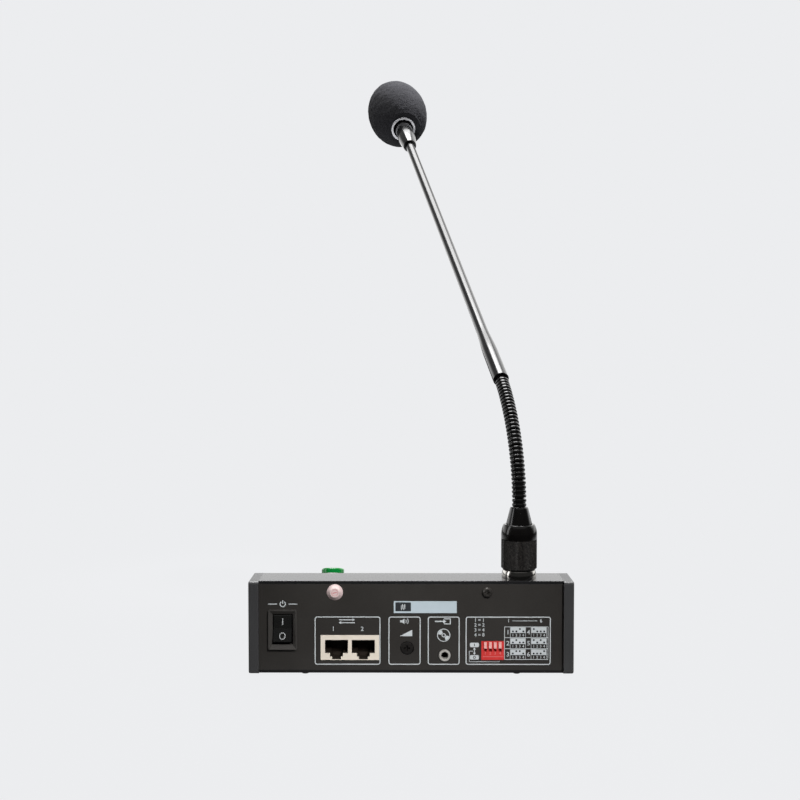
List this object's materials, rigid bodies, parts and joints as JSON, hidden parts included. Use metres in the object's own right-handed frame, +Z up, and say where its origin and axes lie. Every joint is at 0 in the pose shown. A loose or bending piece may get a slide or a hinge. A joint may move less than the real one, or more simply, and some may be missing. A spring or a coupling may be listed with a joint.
{
  "type": "desk paging microphone",
  "caption": "Wedge-shaped desk paging console with a plug-in gooseneck microphone, a talk button, zone keys and rear sockets.",
  "frame": {"origin": "on the desk, under the middle of the case's footprint; the feet's undersides are at Z = 0", "axes": "+Z up, +X to the right of the seated user, -Y towards the user, +Y out of the panel with the sockets"},
  "size_m": [0.1672, 0.442, 0.4047],
  "materials": {
    "console_sheet": "fine matt paint",
    "rear_panel_paint": "fine textured charcoal paint",
    "tray_steel": "matt black paint",
    "cheek_plastic": "fine spark texture",
    "black_rubber": "matt",
    "black_screw": "black oxide",
    "zinc_screw": "zinc plate",
    "seal_paper": "paper-like film",
    "label_film": "satin film",
    "board_green": "solder mask",
    "part_black": "moulded epoxy",
    "brass_spacer": "nickelled",
    "switch_black": "satin moulding",
    "blade_metal": "tinned",
    "socket_ivory": "moulded",
    "contact_gold": "gold flash",
    "trimmer_black": "moulded",
    "nickel_plate": "bright nickel",
    "dip_red": "moulded",
    "dip_white": "moulded",
    "button_green": "translucent moulding",
    "bezel_black": "satin moulding",
    "key_grey": "satin moulding",
    "lamp_lens": "tinted epoxy",
    "nut_black": "matt black, knurled",
    "neck_black": "gloss black spring steel",
    "tube_black": "gloss black lacquer",
    "housing_black": "gloss black lacquer",
    "foam_grey": "open-cell foam",
    "ring_silver": "turned and clear anodised"
  },
  "bodies": {
    "console": {"top_cover": "console_sheet", "base_tray": "tray_steel", "rear_panel": "rear_panel_paint", "cheek_left": "cheek_plastic", "cheek_right": "cheek_plastic", "rubber_feet": "black_rubber", "panel_screws": "black_screw", "cheek_screws": "black_screw", "warranty_seal": "seal_paper", "serial_label": "label_film", "main_board": "board_green", "board_standoffs": "brass_spacer", "board_screws": "zinc_screw", "board_parts": "part_black", "switch_housing": "switch_black", "switch_blades": "blade_metal", "link_socket": "socket_ivory", "link_contacts": "contact_gold", "volume_body": "part_black", "jack_ring": "nickel_plate", "jack_body": "part_black", "dip_body": "dip_red", "key_board": "board_green", "key_board_posts": "brass_spacer", "talk_bezel": "bezel_black", "talk_switch": "part_black", "key_switches": "part_black", "indicator_lamps": "lamp_lens", "mic_socket": "nickel_plate", "socket_nut": "nickel_plate", "socket_insert": "part_black"},
    "power_rocker": {"power_rocker": "switch_black"},
    "volume_rotor": {"volume_rotor": "trimmer_black"},
    "talk_button": {"talk_button": "button_green"},
    "plug": {"mic_plug": "nickel_plate"},
    "nut": {"coupling_nut": "nut_black"},
    "tail": {"tail_cone": "nut_black", "neck_root": "neck_black"},
    "wand": {"neck_tip": "neck_black", "mic_tube": "tube_black", "capsule_housing": "housing_black", "capsule": "nickel_plate"},
    "foam": {"windscreen": "foam_grey", "windscreen_ring": "ring_silver"},
    "dip_slider_1": {"dip_slider_1": "dip_white"},
    "dip_slider_2": {"dip_slider_2": "dip_white"},
    "dip_slider_3": {"dip_slider_3": "dip_white"},
    "dip_slider_4": {"dip_slider_4": "dip_white"},
    "zone_key_1": {"zone_key_1": "key_grey"},
    "zone_key_2": {"zone_key_2": "key_grey"},
    "zone_key_3": {"zone_key_3": "key_grey"},
    "zone_key_4": {"zone_key_4": "key_grey"},
    "neck_link_1": {"neck_link_1": "neck_black"},
    "neck_link_2": {"neck_link_2": "neck_black"},
    "neck_link_3": {"neck_link_3": "neck_black"},
    "neck_link_4": {"neck_link_4": "neck_black"},
    "neck_link_5": {"neck_link_5": "neck_black"},
    "neck_link_6": {"neck_link_6": "neck_black"},
    "neck_link_7": {"neck_link_7": "neck_black"},
    "neck_link_8": {"neck_link_8": "neck_black"}
  },
  "joints": [
    {"name": "power_tilt", "type": "hinge", "parent": "console", "child": "power_rocker", "pos_m": [0.0661, 0.0618, 0.02517], "axis": [-1, 0, 0], "range_deg": [0, 18]},
    {"name": "volume_turn", "type": "hinge", "parent": "console", "child": "volume_rotor", "pos_m": [0.00205, 0.0652, 0.01533], "axis": [0, 1, 0], "range_deg": [-140, 140]},
    {"name": "talk_press", "type": "slide", "parent": "console", "child": "talk_button", "axis": [0, 0.2567, -0.9665], "range_m": [0, 0.001], "stiffness_N_per_m": 800, "springref_m": -0.001},
    {"name": "zone_press_1", "type": "slide", "parent": "console", "child": "zone_key_1", "axis": [0, 0.2567, -0.9665], "range_m": [0, 0.0006], "stiffness_N_per_m": 800, "springref_m": -0.001},
    {"name": "zone_press_2", "type": "slide", "parent": "console", "child": "zone_key_2", "axis": [0, 0.2567, -0.9665], "range_m": [0, 0.0006], "stiffness_N_per_m": 800, "springref_m": -0.001},
    {"name": "zone_press_3", "type": "slide", "parent": "console", "child": "zone_key_3", "axis": [0, 0.2567, -0.9665], "range_m": [0, 0.0006], "stiffness_N_per_m": 800, "springref_m": -0.001},
    {"name": "zone_press_4", "type": "slide", "parent": "console", "child": "zone_key_4", "axis": [0, 0.2567, -0.9665], "range_m": [0, 0.0006], "stiffness_N_per_m": 800, "springref_m": -0.001},
    {"name": "dip_shift_1", "type": "slide", "parent": "console", "child": "dip_slider_1", "axis": [0, 0, -1], "range_m": [0, 0.00175]},
    {"name": "dip_shift_2", "type": "slide", "parent": "console", "child": "dip_slider_2", "axis": [0, 0, -1], "range_m": [0, 0.00175]},
    {"name": "dip_shift_3", "type": "slide", "parent": "console", "child": "dip_slider_3", "axis": [0, 0, -1], "range_m": [0, 0.00175]},
    {"name": "dip_shift_4", "type": "slide", "parent": "console", "child": "dip_slider_4", "axis": [0, 0, -1], "range_m": [0, 0.00175]},
    {"name": "microphone_lift", "type": "slide", "parent": "console", "child": "plug", "axis": [0, 0, 1], "range_m": [0, 0.015]},
    {"name": "nut_turn", "type": "hinge", "parent": "plug", "child": "nut", "pos_m": [-0.0564, 0.0553, 0.0503], "axis": [0, 0, 1], "range_deg": [0, 720]},
    {"name": "neck_swivel", "type": "hinge", "parent": "plug", "child": "tail", "pos_m": [-0.0564, 0.0553, 0.0503], "axis": [0, 0, 1], "range_deg": [-90, 90]},
    {"name": "neck_bend_1", "type": "hinge", "parent": "tail", "child": "neck_link_1", "pos_m": [-0.0564, 0.0553, 0.09182], "axis": [0.986, 0.1668, 0], "range_deg": [-7.86, 3.14]},
    {"name": "neck_bend_2", "type": "hinge", "parent": "neck_link_1", "child": "neck_link_2", "pos_m": [-0.0562, 0.05408, 0.10078], "axis": [0.986, 0.1668, 0], "range_deg": [-8.38, 3.35]},
    {"name": "neck_bend_3", "type": "hinge", "parent": "neck_link_2", "child": "neck_link_3", "pos_m": [-0.05577, 0.05159, 0.10945], "axis": [0.986, 0.1668, 0], "range_deg": [-7.02, 2.81]},
    {"name": "neck_bend_4", "type": "hinge", "parent": "neck_link_3", "child": "neck_link_4", "pos_m": [-0.05518, 0.04807, 0.11776], "axis": [0.986, 0.1668, 0], "range_deg": [-6.33, 2.53]},
    {"name": "neck_bend_5", "type": "hinge", "parent": "neck_link_4", "child": "neck_link_5", "pos_m": [-0.05443, 0.04367, 0.12562], "axis": [0.986, 0.1668, 0], "range_deg": [-5.89, 2.35]},
    {"name": "neck_bend_6", "type": "hinge", "parent": "neck_link_5", "child": "neck_link_6", "pos_m": [-0.05356, 0.03849, 0.13298], "axis": [0.986, 0.1668, 0], "range_deg": [-5.56, 2.22]},
    {"name": "neck_bend_7", "type": "hinge", "parent": "neck_link_6", "child": "neck_link_7", "pos_m": [-0.05257, 0.03264, 0.1398], "axis": [0.986, 0.1668, 0], "range_deg": [-5.31, 2.12]},
    {"name": "neck_bend_8", "type": "hinge", "parent": "neck_link_7", "child": "neck_link_8", "pos_m": [-0.05148, 0.02619, 0.14604], "axis": [0.986, 0.1668, 0], "range_deg": [-5.1, 2.04]},
    {"name": "neck_bend_9", "type": "hinge", "parent": "neck_link_8", "child": "wand", "pos_m": [-0.0503, 0.01922, 0.15168], "axis": [0.986, 0.1668, 0], "range_deg": [-6.86, 2.74]},
    {"name": "windscreen_pull", "type": "slide", "parent": "wand", "child": "foam", "axis": [0.1419, -0.8389, 0.5255], "range_m": [0, 0.09]}
  ]
}
